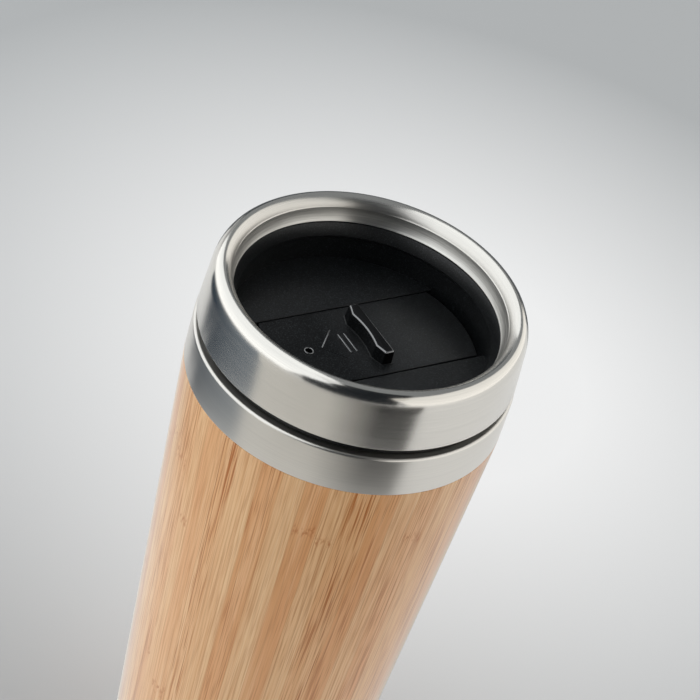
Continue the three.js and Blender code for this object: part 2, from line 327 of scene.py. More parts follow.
def linked(name, data):
    """Puts a mesh, a lamp or a camera into the scene as an object."""
    made = bpy.data.objects.new(name, data)
    bpy.context.scene.collection.objects.link(made)
    return made


def smooth_between_edges(mesh):
    mesh.shade_smooth()
    mesh.set_sharp_from_angle(angle=math.radians(SHARP_DEGREES))


def finished(shape, name, *materials):
    """Closes seams and poles, points the faces outwards and makes the object."""
    bmesh.ops.remove_doubles(shape, verts=shape.verts[:], dist=MERGE_DISTANCE * MM)
    bmesh.ops.recalc_face_normals(shape, faces=shape.faces[:])
    mesh = mesh_of(shape, name, *materials)
    smooth_between_edges(mesh)
    return linked(name, mesh)


def turned(name, profile, *materials, closed=True):
    shape = new_shape()
    add_turned(shape, profile, closed)
    return finished(shape, name, *materials)


def raised(shape, face, rise):
    """Extrudes a face upwards, and gives the new vertices and the new top face."""
    made = bmesh.ops.extrude_face_region(shape, geom=[face], use_keep_orig=True)["geom"]
    upper = [item for item in made if isinstance(item, bmesh.types.BMVert)]
    top_face = next(item for item in made if isinstance(item, bmesh.types.BMFace))
    bmesh.ops.translate(shape, verts=upper, vec=(0, 0, rise * MM))
    return upper, top_face


def round_edges(shape, edges, size, steps, clamp=True):
    return bmesh.ops.bevel(
        shape,
        geom=list(edges),
        offset=size * MM,
        affect="EDGES",
        segments=steps,
        profile=0.5,
        material=-1,
        clamp_overlap=clamp,
    )


def add_prism(shape, outline, bottom, top, edge=0, edge_steps=3):
    """An upright block over an outline, with its upper edges rounded."""
    verts = [shape.verts.new((x * MM, y * MM, bottom * MM)) for x, y in outline]
    upper, top_face = raised(shape, shape.faces.new(verts), top - bottom)
    if edge:
        round_edges(shape, top_face.edges, edge, edge_steps)


def add_thread(shape, root, crest, start_height):
    """The thread's starts: a trapezoid swept up a helix, sinking into its root at both ends."""
    outwards = math.copysign(1, crest - root)
    sunk = root - outwards * THREAD_SINK
    section = (
        (sunk, -THREAD_BASE / 2),
        (crest, -THREAD_TIP / 2),
        (crest, THREAD_TIP / 2),
        (sunk, THREAD_BASE / 2),
    )
    sweep = math.radians(THREAD_SWEEP)
    rise = THREAD_LEAD * THREAD_SWEEP / 360
    for start in range(THREAD_STARTS):
        before = set(shape.verts)
        verts = [shape.verts.new((r * MM, 0, (start_height + h) * MM)) for r, h in section]
        face = shape.faces.new(verts)
        bmesh.ops.spin(
            shape,
            geom=[face],
            cent=(0, 0, 0),
            axis=(0, 0, 1),
            dvec=(0, 0, rise * MM / THREAD_STEPS),
            angle=sweep,
            steps=THREAD_STEPS,
        )
        made = [vert for vert in shape.verts if vert not in before]
        for vert in made:
            degrees = math.degrees(math.atan2(vert.co.y, vert.co.x)) % 360
            fade = min(1, degrees / THREAD_FADE, max(0, THREAD_SWEEP - degrees) / THREAD_FADE)
            radius = math.hypot(vert.co.x, vert.co.y)
            wanted = sunk * MM + (radius - sunk * MM) * max(fade, 0)
            vert.co.x *= wanted / radius
            vert.co.y *= wanted / radius
        turn = Matrix.Rotation(math.radians(360 * start / THREAD_STARTS + THREAD_TURN), 3, "Z")
        bmesh.ops.rotate(shape, verts=made, cent=(0, 0, 0), matrix=turn)


def cut(piece, cutter):
    """Takes the cutter's volume out of a piece, and removes the cutter."""
    modifier = piece.modifiers.new("cut", "BOOLEAN")
    modifier.operation = "DIFFERENCE"
    modifier.solver = "EXACT"
    modifier.object = cutter
    bpy.context.view_layer.update()
    shown = piece.evaluated_get(bpy.context.evaluated_depsgraph_get())
    mesh = bpy.data.meshes.new_from_object(shown)
    piece.modifiers.clear()
    old = piece.data
    piece.data = mesh
    bpy.data.meshes.remove(old)
    bpy.data.objects.remove(cutter)
    smooth_between_edges(mesh)


def sector_outline(inner, outer, half_angle, steps=24):
    outline = []
    for radius, direction in ((outer, 1), (inner, -1)):
        for step in range(steps + 1):
            angle = math.radians(direction * half_angle * (2 * step / steps - 1))
            outline.append((radius * math.cos(angle), radius * math.sin(angle)))
    return outline


def strip_outline(half_width, end_radius, tail_radius, tail_shift, steps=28):
    outline = []
    for radius, turn, shift in ((end_radius, 0, 0), (tail_radius, math.pi, tail_shift)):
        reach = math.asin(half_width / radius)
        for step in range(steps + 1):
            angle = turn + reach * (2 * step / steps - 1)
            outline.append((radius * math.cos(angle) + shift, radius * math.sin(angle)))
    return outline


# Materials


class Finish:
    """A material under way: its node tree, with short ways to add and join nodes."""

    def __init__(self, name):
        self.material = bpy.data.materials.new(name)
        self.material.use_nodes = True
        self.tree = self.material.node_tree
        self.shader = self.tree.nodes["Principled BSDF"]

    def feed(self, socket, value):
        if isinstance(value, bpy.types.NodeSocket):
            self.tree.links.new(value, socket)
        else:
            socket.default_value = value

    def add(self, kind, inputs=None, **settings):
        node = self.tree.nodes.new(kind)
        for key, value in settings.items():
            setattr(node, key, value)
        for key, value in (inputs or {}).items():
            self.feed(node.inputs[key], value)
        return node

    def set(self, **inputs):
        for key, value in inputs.items():
            self.feed(self.shader.inputs[key.replace("_", " ")], value)

    def math(self, operation, *values):
        node = self.add("ShaderNodeMath", operation=operation)
        for socket, value in zip(node.inputs, values):
            self.feed(socket, value)
        return node.outputs[0]

    def vector(self, operation, *values):
        node = self.add("ShaderNodeVectorMath", operation=operation)
        for socket, value in zip(node.inputs, values):
            self.feed(socket, value)
        return node.outputs[0]

    def noise(self, place, scale, detail=2, rough=0.5):
        inputs = {"Vector": place, "Scale": scale, "Detail": detail, "Roughness": rough}
        return self.add("ShaderNodeTexNoise", inputs).outputs[0]

    def span(self, value, low, high, to_low=0.0, to_high=1.0):
        inputs = {"Value": value, "From Min": low, "From Max": high}
        inputs |= {"To Min": to_low, "To Max": to_high}
        return self.add("ShaderNodeMapRange", inputs).outputs["Result"]

    def weigh(self, first, share, second, rest):
        """The sum of two values, each with its own share."""
        first_part = self.math("MULTIPLY", first, share)
        return self.math("ADD", first_part, self.math("MULTIPLY", second, rest))

    def mix(self, factor, first, second, blend="MIX"):
        node = self.add("ShaderNodeMix", data_type="RGBA", blend_type=blend)
        for index, value in ((0, factor), (6, first), (7, second)):
            self.feed(node.inputs[index], value)
        return node.outputs[2]

    def bump(self, height, distance, strength):
        inputs = {"Height": height, "Distance": distance, "Strength": strength}
        self.set(Normal=self.add("ShaderNodeBump", inputs).outputs["Normal"])

    def show_mix(self, share, first, second):
        """Shows a mix of two shaders on the surface."""
        inputs = {0: share, 1: first.outputs[0], 2: second.outputs[0]}
        blend = self.add("ShaderNodeMixShader", inputs).outputs[0]
        self.feed(self.tree.nodes["Material Output"].inputs["Surface"], blend)

    def place(self):
        return self.add("ShaderNodeTexCoord").outputs["Object"]

    def along(self):
        """The way along a turned piece's profile, in millimetres."""
        return self.add("ShaderNodeAttribute", attribute_name="along").outputs["Fac"]

    def round_axis(self):
        """The direction from the axis, the angle round it and the height in millimetres."""
        place = self.place()
        axes = self.add("ShaderNodeSeparateXYZ", {"Vector": place}).outputs
        direction = self.vector("NORMALIZE", self.vector("MULTIPLY", place, (1, 1, 0)))
        angle = self.math("ARCTAN2", axes["Y"], axes["X"])
        height = self.math("MULTIPLY", axes["Z"], 1 / MM)
        return direction, angle, height

    def stretched(self, direction, around, across, per_mm):
        """A place for noise, scaled one way round the axis and another way across it."""
        scaled = self.math("MULTIPLY", across, per_mm)
        lift = self.add("ShaderNodeCombineXYZ", {"Z": scaled}).outputs[0]
        return self.vector("MULTIPLY_ADD", direction, (around, around, around), lift)


def steel(name, colour, dark, roughness, spread, grain_turns, grain_per_mm):
    """Brushed steel: hairlines round the piece, and a gloss that they stretch."""
    finish = Finish(name)
    direction, _, _ = finish.round_axis()
    along = finish.along()
    lines = finish.noise(finish.stretched(direction, grain_turns, along, grain_per_mm), 1, 4, 0.65)
    soft = finish.noise(finish.stretched(direction, 2.5, along, 0.12), 1, 2)
    tone = finish.span(finish.weigh(lines, 0.75, soft, 0.25), 0.32, 0.68)
    finish.set(Base_Color=finish.mix(tone, (*dark, 1), (*colour, 1)))
    finish.gloss = finish.span(lines, 0.3, 0.7, roughness - 0.02, roughness + 0.02)
    finish.set(Metallic=1.0, Roughness=finish.gloss)
    finish.set(Anisotropic=spread, Anisotropic_Rotation=0.25)
    tangent = finish.add("ShaderNodeTangent", direction_type="RADIAL", axis="Z")
    finish.set(Tangent=tangent.outputs[0])
    finish.bump(lines, 0.006 * MM, 0.07)
    return finish


def brushed_steel():
    light = (0.715, 0.691, 0.643)
    dark = (0.65, 0.629, 0.586)
    return steel("brushed_steel", light, dark, 0.31, 0.65, 1.6, 3).material


def ring_steel():
    """Brushed like the collar, and buffed brighter over the shoulder."""
    light = (0.725, 0.701, 0.652)
    dark = (0.64, 0.619, 0.577)
    finish = steel("ring_steel", light, dark, 0.25, 0.75, 1.6, 3)
    along = finish.along()
    buffed = finish.span(along, SHOULDER_WAY, SHOULDER_WAY + BUFFED_FADE, 1, BUFFED_SHARE)
    inside = finish.span(along, CREST_WAY, CREST_WAY + CREST_FADE, 0, INSIDE_SHARE - BUFFED_SHARE)
    share = finish.math("ADD", buffed, inside)
    finish.set(Roughness=finish.math("MULTIPLY", finish.gloss, share))
    return finish.material


def drawn_steel():
    """The band inside the ring, with plainer lines. Its colour is paler than the ring's, and that
    paleness is painted light that brightens the steep band.
    """
    # Painted light: a paler steel than the ring's, so the band reads brighter.
    light = (0.84, 0.82, 0.77)
    dark = (0.5, 0.485, 0.455)
    return steel("drawn_steel", light, dark, 0.36, 0.85, 1.6, 2.4).material


def liner_steel():
    light = (0.66, 0.655, 0.64)
    dark = (0.56, 0.555, 0.545)
    return steel("liner_steel", light, dark, 0.34, 0.55, 4, 3).material


def bamboo():
    """Laminated bamboo: upright strips of many tones, with fibres, streaks and node marks."""
    finish = Finish("bamboo")
    direction, angle, height = finish.round_axis()
    strip_place = finish.math("MULTIPLY", angle, BAMBOO_STRIPS / math.tau)
    cells = {"W": strip_place, "Scale": 1, "Randomness": 0.55}
    strips, edges = (
        finish.add("ShaderNodeTexVoronoi", cells, voronoi_dimensions="1D", feature=feature)
        for feature in ("F1", "DISTANCE_TO_EDGE")
    )
    chance = finish.add("ShaderNodeSeparateColor", {"Color": strips.outputs["Color"]}).outputs
    shift = finish.vector("MULTIPLY", strips.outputs["Color"], (0, 0, 60))

    def grain(around, per_mm, detail, rough=0.5):
        """Noise along the fibres, different in each strip."""
        place = finish.vector("ADD", finish.stretched(direction, around, height, per_mm), shift)
        return finish.noise(place, 1, detail, rough)

    fine = grain(120, 0.03, 3, 0.6)
    middle = grain(42, 0.014, 3, 0.55)
    broad = grain(9, 0.012, 2)
    long_streaks = grain(82, 0.036, 2)
    short_streaks = grain(130, 0.07, 1)

    tone = finish.span(finish.weigh(chance[0], 0.45, broad, 0.55), 0.25, 0.8)
    colour = finish.mix(tone, (0.95, 0.62, 0.33, 1), (0.83, 0.4, 0.165, 1))
    fibres = finish.weigh(fine, 0.55, middle, 0.45)
    colour = finish.mix(finish.span(fibres, 0.44, 0.68, 0, 0.6), colour, (0.68, 0.28, 0.075, 1))
    colour = finish.mix(finish.span(fibres, 0.46, 0.3, 0, 0.4), colour, (0.96, 0.68, 0.40, 1))
    strong = finish.span(chance[2], 0.2, 0.9, 0.42, 1)
    dark = finish.math("MULTIPLY", finish.span(long_streaks, 0.525, 0.67), strong)
    dashes = finish.math("MULTIPLY", finish.span(short_streaks, 0.525, 0.69), strong)
    dark = finish.math("MAXIMUM", dark, finish.math("MULTIPLY", dashes, 0.85))
    colour = finish.mix(dark, colour, (0.5, 0.155, 0.025, 1))

    wobble = finish.noise(finish.stretched(direction, 24, height, 0.12), 1, 3)
    node_height = finish.math("MULTIPLY_ADD", chance[1], 2 * NODE_SPACING, height)
    node_height = finish.math("MULTIPLY_ADD", wobble, 9, node_height)
    away = finish.math("PINGPONG", node_height, NODE_SPACING)
    patches = finish.noise(finish.stretched(direction, 70, height, 0.6), 1, 2)
    patchy = finish.span(patches, 0.45, 0.62)
    node = finish.math("MULTIPLY", finish.span(away, 0.2, 2.2, 1, 0), patchy)
    colour = finish.mix(finish.math("MULTIPLY", node, 0.75), colour, (0.54, 0.16, 0.03, 1))

    glue = finish.span(edges.outputs["Distance"], 0.0, 0.03, 0.3, 0)
    colour = finish.mix(glue, colour, (0.56, 0.23, 0.07, 1))
    finish.set(Base_Color=colour, Roughness=finish.span(fibres, 0.3, 0.7, 0.42, 0.56))
    finish.set(Coat_Weight=1.0, Coat_Roughness=0.3, Coat_IOR=1.38, Specular_IOR_Level=0.2)
    finish.set(Sheen_Weight=1.0, Sheen_Roughness=0.3, Sheen_Tint=(0.94, 1, 0.98, 1))
    relief = finish.math("SUBTRACT", finish.math("MULTIPLY", fibres, -1), dark)
    finish.bump(relief, 0.05 * MM, 0.3)
    return finish.material


def grained_plastic(name):
    """Moulded black plastic with a fine spark-eroded grain. The lighter specks in its colour are
    painted glints.
    """
    finish = Finish(name)
    place = finish.place()
    grain = finish.noise(place, 3300, 1, 0.6)
    cloud = finish.noise(place, 90, 2)
    colour = finish.mix(cloud, (0.0017, 0.002, 0.0023, 1), (0.0032, 0.0037, 0.0042, 1))
    # Painted glints: lighter specks in the colour stand in for the grain's sparkle.
    painted_glints = finish.span(grain, 0.54, 0.76)
    finish.set(Base_Color=finish.mix(painted_glints, colour, (0.031, 0.0355, 0.038, 1)))
    finish.set(Roughness=finish.span(grain, 0.3, 0.7, 0.42, 0.3))
    finish.bump(grain, 0.06 * MM, 0.8)
    return finish


def black_plastic():
    finish = grained_plastic("black_plastic")
    finish.set(Specular_IOR_Level=0.3)
    return finish.material


def flare_plastic():
    """The tray's flared top. It is the same plastic made more reflective, a painted highlight so the
    band reads lighter.
    """
    finish = grained_plastic("flare_plastic")
    # Painted highlight: a stronger reflection than the rest of the tray's plastic.
    finish.set(Specular_IOR_Level=0.5)
    return finish.material


def strip_plastic():
    """The slider's plastic, shinier towards its drinking end. This is a painted highlight, so that end
    reads lighter.
    """
    finish = grained_plastic("strip_plastic")
    along = finish.add("ShaderNodeSeparateXYZ", {"Vector": finish.place()}).outputs["X"]
    # Painted highlight: the reflection rises from the vent end to the drinking end.
    finish.set(Specular_IOR_Level=finish.span(along, -8 * MM, 14 * MM, 0.12, 0.6))
    return finish.material


def rubbed_plastic():
    """The same plastic where edges and raised lines have worn smooth and shiny."""
    finish = Finish("rubbed_plastic")
    grain = finish.noise(finish.place(), 1800, 2, 0.6)
    finish.set(Base_Color=finish.mix(grain, (0.008, 0.008, 0.009, 1), (0.03, 0.031, 0.033, 1)))
    finish.set(Roughness=finish.span(grain, 0.3, 0.7, 0.2, 0.3), Specular_IOR_Level=1.0)
    finish.set(Coat_Weight=1.0, Coat_Roughness=0.2, Coat_IOR=2.2)
    finish.bump(grain, 0.01 * MM, 0.3)
    return finish.material


def smooth_plastic():
    """The same plastic where the mould was left smooth. Its weaker reflection is painted shade, so the
    thumb bar's top and ends read darker.
    """
    finish = Finish("smooth_plastic")
    cloud = finish.noise(finish.place(), 300, 3, 0.6)
    colour = finish.mix(cloud, (0.0015, 0.0015, 0.0017, 1), (0.003, 0.003, 0.0033, 1))
    finish.set(Base_Color=colour)
    # Painted shade: a weaker reflection than the grained plastic's.
    finish.set(Roughness=finish.span(cloud, 0.3, 0.7, 0.28, 0.36), Specular_IOR_Level=0.15)
    finish.bump(cloud, 0.01 * MM, 0.2)
    return finish.material


def soft_rubber(name, colour, scale):
    finish = Finish(name)
    grain = finish.noise(finish.place(), scale, 3, 0.6)
    lighter = tuple(1.5 * channel for channel in colour)
    finish.set(Base_Color=finish.mix(grain, (*colour, 1), (*lighter, 1)))
    finish.set(Roughness=finish.span(grain, 0.3, 0.7, 0.6, 0.78))
    finish.bump(grain, 0.05 * MM, 0.4)
    return finish.material


# Pieces of the cup


def make_foot(material):
    half = FOOT_GROOVE_WIDTH / 2
    depth = FOOT_GROOVE_DEPTH
    profile = [(0, 0)]
    for radius in FOOT_GROOVES:
        profile += [(radius - half, 0), (radius - half + depth, depth)]
        profile += [(radius + half - depth, depth), (radius + half, 0)]
    profile += arc(FOOT_RADIUS - FOOT_EDGE, FOOT_EDGE, FOOT_EDGE, FOOT_EDGE, -90, 0)
    profile += [(FOOT_RADIUS, FOOT_TOP), (0, FOOT_TOP)]
    return turned("foot_pad_soft", profile, material, closed=False)


def make_cap(material):
    rim = sleeve_radius(SLEEVE_BOTTOM)
    spigot = rim - SLEEVE_WALL - FIT_GAP
    recess = FOOT_RADIUS + FIT_GAP
    profile = [
        (0, CAP_RECESS_TOP),
        (recess, CAP_RECESS_TOP),
        *arc(recess + SHEET_EDGE, CAP_BOTTOM + SHEET_EDGE, SHEET_EDGE, SHEET_EDGE, 180, 270, 4),
        *arc(rim - CAP_EDGE, CAP_BOTTOM + CAP_EDGE, CAP_EDGE, CAP_EDGE, -90, 0),
        *arc(rim - SHEET_EDGE, CAP_TOP - SHEET_EDGE, SHEET_EDGE, SHEET_EDGE, 0, 90, 4),
        (spigot, CAP_TOP),
        (spigot, SPIGOT_TOP),
        (spigot - SPIGOT_WALL, SPIGOT_TOP),
        (spigot - SPIGOT_WALL, CAP_TOP),
        (0, CAP_TOP),
    ]
    return turned("base_cap_steel", profile, material, closed=False)


def make_sleeve(material):
    low = SLEEVE_BOTTOM
    high = SLEEVE_TOP
    edge = SLEEVE_EDGE
    profile = [
        (sleeve_radius(low) - SLEEVE_WALL, low),
        *arc(sleeve_radius(low) - edge, low + edge, edge, edge, -90, 0, 5),
        *arc(sleeve_radius(high) - SHEET_EDGE, high - SHEET_EDGE, SHEET_EDGE, SHEET_EDGE, 0, 90, 5),
        (sleeve_radius(high) - SLEEVE_WALL, high),
    ]
    return turned("bamboo_sleeve_grained", profile, material)


def make_liner(material):
    corner_top = LINER_BOTTOM + LINER_CORNER
    corner_radius = liner_radius(corner_top) - LINER_CORNER
    inner_width = LINER_CORNER - LINER_WALL
    inner_rise = LINER_CORNER - LINER_FLOOR
    profile = [
        (0, LINER_BOTTOM),
        *arc(corner_radius, corner_top, LINER_CORNER, LINER_CORNER, -90, 0),
        (liner_radius(MOUTH_STEP_BOTTOM), MOUTH_STEP_BOTTOM),
        (MOUTH_OUTER, MOUTH_STEP_TOP),
        (MOUTH_OUTER, LINER_TOP - LINER_WALL),
        (LINER_LIP_RADIUS, LINER_TOP - LINER_WALL),
        (LINER_LIP_RADIUS, LINER_TOP),
        (MOUTH_INNER, LINER_TOP),
        (MOUTH_INNER, MOUTH_STEP_TOP),
        (liner_radius(MOUTH_STEP_BOTTOM) - LINER_WALL, MOUTH_STEP_BOTTOM),
        *arc(corner_radius, corner_top, inner_width, inner_rise, 0, -90),
        (0, LINER_BOTTOM + LINER_FLOOR),
    ]
    shape = new_shape()
    add_turned(shape, profile, closed=False)
    add_thread(shape, MOUTH_INNER, FEMALE_CREST, FEMALE_START)
    return finished(shape, "inner_liner_steel", material)


def make_collar(material):
    inside = BODY_RADIUS - COLLAR_SHEET
    centre = BODY_RADIUS - COLLAR_EDGE
    edge_height = COLLAR_TOP - COLLAR_EDGE
    profile = [
        (inside, COLLAR_BOTTOM),
        *arc(BODY_RADIUS - SHEET_EDGE, COLLAR_BOTTOM + SHEET_EDGE, SHEET_EDGE, SHEET_EDGE, -90, 0, 5),
        *arc(centre, edge_height, COLLAR_EDGE, COLLAR_EDGE, 0, 90),
        *arc(MOUTH_INNER + SHEET_EDGE, COLLAR_TOP - SHEET_EDGE, SHEET_EDGE, SHEET_EDGE, 90, 180, 5),
        (MOUTH_INNER, COLLAR_TOP - COLLAR_SHEET),
        (inside, COLLAR_TOP - COLLAR_SHEET),
    ]
    return turned("rim_collar_steel", profile, material)


# Pieces of the lid


def make_lid_base(material):
    edge = SKIRT_EDGE
    bend = FLANGE_EDGE
    profile = [
        (0, PLATE_BOTTOM),
        (SKIRT_INNER, PLATE_BOTTOM),
        *arc(SKIRT_INNER + edge, SKIRT_BOTTOM + edge, edge, edge, 180, 270, 4),
        *arc(SKIRT_OUTER - edge, SKIRT_BOTTOM + edge, edge, edge, -90, 0, 4),
        (SKIRT_OUTER, PLATE_BOTTOM),
        (NECK_OUTER, PLATE_BOTTOM),
        (NECK_OUTER, FLANGE_BOTTOM),
        *arc(RING_WALL_OUTER - bend, FLANGE_BOTTOM + bend, bend, bend, -90, 0, 4),
        (RING_WALL_OUTER, RING_WALL_TOP),
        (RING_WALL_INNER, RING_WALL_TOP),
        (RING_WALL_INNER, FLANGE_TOP),
        (NECK_INNER, FLANGE_TOP),
        (NECK_INNER, PLATE_TOP),
        (0, PLATE_TOP),
    ]
    blank = turned("lid_base_moulded", profile, material, closed=False)
    hole = new_shape()
    outline = sector_outline(DRINK_INNER, DRINK_OUTER, DRINK_HALF_ANGLE)
    add_prism(hole, outline, PLATE_BOTTOM - CUT_PAST, PLATE_TOP + CUT_PAST)
    cut(blank, finished(hole, "drink_hole"))
    cut(blank, vent_drill(LID_VENT_OFFSET, PLATE_BOTTOM, PLATE_TOP))
    shape = new_shape()
    add_thread(shape, SKIRT_OUTER, MALE_CREST, MALE_START)
    shape.from_mesh(blank.data)
    bpy.data.objects.remove(blank)
    return finished(shape, "lid_base_moulded", material)


def vent_drill(offset, bottom, top):
    """The cutter for a vent hole from one height to another."""
    low = bottom - CUT_PAST
    high = top + CUT_PAST
    shape = new_shape()
    add_turned(shape, [(0, low), (VENT_RADIUS, low), (VENT_RADIUS, high), (0, high)], closed=False)
    bmesh.ops.translate(shape, verts=shape.verts[:], vec=(offset * MM, 0, 0))
    return finished(shape, "vent_drill")


def make_gasket(material):
    inner = SKIRT_OUTER + FIT_GAP
    outer = MOUTH_INNER - FIT_GAP
    lip = (GASKET_TOP - GASKET_BOTTOM) / (2 * GASKET_LIPS)
    profile = [(inner, GASKET_BOTTOM)]
    for index in range(GASKET_LIPS):
        middle = GASKET_BOTTOM + (2 * index + 1) * lip
        reach = GASKET_LIP_REACH
        profile += arc(outer - reach, middle, reach, lip * GASKET_LIP_SHARE, -90, 90)
    profile.append((inner, GASKET_TOP))
    return turned("lid_gasket_soft", profile, material)


def ring_side(inset):
    """The ring's shoulder and crest, or the same curve inside its sheet."""
    width = SHOULDER_WIDTH - inset
    rise = SHOULDER_HEIGHT - inset
    shoulder = arc(CREST_RADIUS, SHOULDER_START, width, rise, 0, 90, 20)
    width = CREST_WIDTH - inset
    rise = CREST_DROP - inset
    crest = arc(CREST_RADIUS, RING_TOP - CREST_DROP, width, rise, 90, CREST_TURN, 16)
    return [*shoulder, *crest[1:]]


def make_ring(outside, inside):
    edge = SHEET_EDGE
    inner_wall = RING_RADIUS - RING_SHEET
    crest_side = ring_side(0)
    slope_foot = (CREASE_RADIUS, CREASE_HEIGHT + CREASE_DEPTH)
    band_top = (CREASE_RADIUS - BAND_STEP, CREASE_HEIGHT - CREASE_DEPTH)
    band_foot, *lip_edge = [(LIP_RADIUS + out, LIP_BOTTOM + up) for out, up in LIP_BEND]
    profile = [
        *arc(RING_RADIUS - edge, RING_BOTTOM + edge, edge, edge, -90, 0, 4),
        *crest_side,
        *bowed(crest_side[-1], slope_foot, -SLOPE_BOW)[1:],
        (CREASE_RADIUS + CREASE_DEPTH, CREASE_HEIGHT + CREASE_DEPTH / 2),
        *bowed(band_top, band_foot, BAND_SAG),
        *lip_edge,
        (LIP_RADIUS + RING_SHEET, LIP_BOTTOM),
        (CREASE_RADIUS + RING_SHEET, CREASE_HEIGHT),
        *reversed(ring_side(RING_SHEET)),
        (inner_wall, RING_BOTTOM + edge),
        (inner_wall + edge, RING_BOTTOM),
    ]
    piece = turned("lid_ring_steel", profile, outside, inside)
    for face in piece.data.polygons:
        middle = face.center
        radius = math.hypot(middle.x, middle.y) / MM
        if radius < CREASE_RADIUS + BAND_REACH and middle.z / MM < CREASE_HEIGHT:
            face.material_index = 1
    return piece


def make_tray(material, flare):
    ledge = LIP_RADIUS + TRAY_LEDGE
    rib = TRAY_INNER - TRAY_RIB
    profile = [
        (TRAY_INNER, TRAY_BOTTOM),
        (TRAY_OUTER, TRAY_BOTTOM),
        (TRAY_OUTER, TRAY_CONE_START),
        (ledge, TRAY_TOP),
        *arc(LIP_RADIUS + TRAY_EDGE, TRAY_TOP - TRAY_EDGE, TRAY_EDGE, TRAY_EDGE, 90, 160, 4),
        (rib, TRAY_CONE_START - TRAY_RIB_TOP),
        (rib, TRAY_CONE_START - TRAY_RIB_BOTTOM),
        (TRAY_INNER, TRAY_CONE_START - TRAY_RIB_FOOT),
    ]
    shape = new_shape()
    add_turned(shape, profile)
    for side in (-1, 1):
        add_floor_segment(shape, side)
    for face in shape.faces:
        middle = face.calc_center_median()
        radius = math.hypot(middle.x, middle.y) / MM
        if radius < LIP_RADIUS and middle.z / MM > TRAY_CONE_START - TRAY_RIB_TOP:
            face.material_index = 1
    return finished(shape, "lid_tray_moulded", material, flare)


def add_floor_segment(shape, side):
    """One fixed part of the tray's floor, between the strip and the wall."""
    border = side * (STRIP_HALF_WIDTH + FIT_GAP) * MM
    reach = (TRAY_INNER + FLOOR_OVERLAP) * MM
    before = set(shape.verts)
    bmesh.ops.create_circle(shape, cap_ends=True, radius=reach, segments=ROUND_STEPS)
    rim = [vert for vert in shape.verts if vert not in before]
    disc = {item for vert in rim for item in (vert, *vert.link_edges, *vert.link_faces)}
    bmesh.ops.bisect_plane(
        shape,
        geom=list(disc),
        plane_co=(0, border, 0),
        plane_no=(0, side, 0),
        clear_inner=True,
    )
    verts = [vert for vert in shape.verts if vert not in before]
    bmesh.ops.translate(shape, verts=verts, vec=(0, 0, TRAY_BOTTOM * MM))
    upper, _ = raised(shape, verts[0].link_faces[0], TRAY_FLOOR - TRAY_BOTTOM)
    on_border = {vert for vert in upper if abs(vert.co.y - border) < NEAR * MM}
    seam = [edge for edge in shape.edges if all(vert in on_border for vert in edge.verts)]
    round_edges(shape, seam, STRIP_EDGE, 3, clamp=False)


def thumb_outline():
    """The thumb bar from above: a straight face, and a hollow between two lobes behind it."""
    outline = [(THUMB_FACE, -THUMB_HALF_LENGTH), (THUMB_FACE, THUMB_HALF_LENGTH)]
    for step in range(THUMB_STEPS + 1):
        y = THUMB_HALF_LENGTH * (1 - 2 * step / THUMB_STEPS)
        if abs(y) < THUMB_LOBE_OFFSET:
            x = THUMB_HOLLOW - (THUMB_HOLLOW - THUMB_LOBE) * (y / THUMB_LOBE_OFFSET) ** 2
        else:
            way = (abs(y) - THUMB_LOBE_OFFSET) / (THUMB_HALF_LENGTH - THUMB_LOBE_OFFSET)
            x = THUMB_LOBE + (THUMB_END - THUMB_LOBE) * way
        outline.append((x, y))
    return outline


def add_thumb_foot(shape):
    """A low step round the thumb bar's foot."""
    outline = []
    for x, y in thumb_outline():
        out = math.copysign(THUMB_FOOT, x - THUMB_FACE / 2)
        outline.append((x + out, y * (1 + THUMB_FOOT / THUMB_HALF_LENGTH)))
    low = TRAY_FLOOR - RAISED_SINK
    high = TRAY_FLOOR + THUMB_FOOT_HEIGHT
    add_prism(shape, outline, low, high, edge=THUMB_FOOT_EDGE, edge_steps=2)


def add_thumb_bar(shape):
    low = (TRAY_FLOOR - THUMB_SINK) * MM
    verts = [shape.verts.new((x * MM, y * MM, low)) for x, y in thumb_outline()]
    upper, top_face = raised(shape, shape.faces.new(verts), THUMB_HEIGHT + THUMB_SINK)
    for vert in upper:
        depth = (THUMB_FACE * MM - vert.co.x) / ((THUMB_FACE - THUMB_LOBE) * MM)
        vert.co.x += THUMB_DRAFT * MM * depth
        vert.co.y *= 1 - THUMB_END_DRAFT / THUMB_HALF_LENGTH
    sharp = math.radians(THUMB_CORNER_DEGREES)
    corners = [
        edge
        for vert in upper
        for edge in vert.link_edges
        if edge.calc_face_angle(0) > sharp and edge.other_vert(vert) not in upper
    ]
    rounded = round_edges(shape, [*top_face.edges, *corners], THUMB_EDGE, 4)
    rubbed_from = (TRAY_FLOOR + THUMB_HEIGHT - THUMB_EDGE) * MM
    for face in rounded["faces"]:
        if face.calc_center_median().z > rubbed_from:
            face.material_index = RUBBED
    for face in shape.faces:
        middle = face.calc_center_median()
        is_top = middle.z > (TRAY_FLOOR + THUMB_HEIGHT - NEAR) * MM
        at_end = abs(middle.y) > (THUMB_HALF_LENGTH - THUMB_END_FACE) * MM and middle.x > 0
        is_end = at_end and face.normal.z < UPRIGHT_NORMAL and middle.z > TRAY_FLOOR * MM
        if is_top or is_end:
            face.material_index = SMOOTH


def add_vent_bead(shape):
    """A thin raised bead round the slider's vent hole."""
    before = set(shape.verts)
    middle = VENT_RADIUS + VENT_BEAD
    add_turned(shape, arc(middle, TRAY_FLOOR - VENT_BEAD_SINK, VENT_BEAD, VENT_BEAD, 0, 180))
    made = [vert for vert in shape.verts if vert not in before]
    bmesh.ops.translate(shape, verts=made, vec=(VENT_OFFSET * MM, 0, 0))


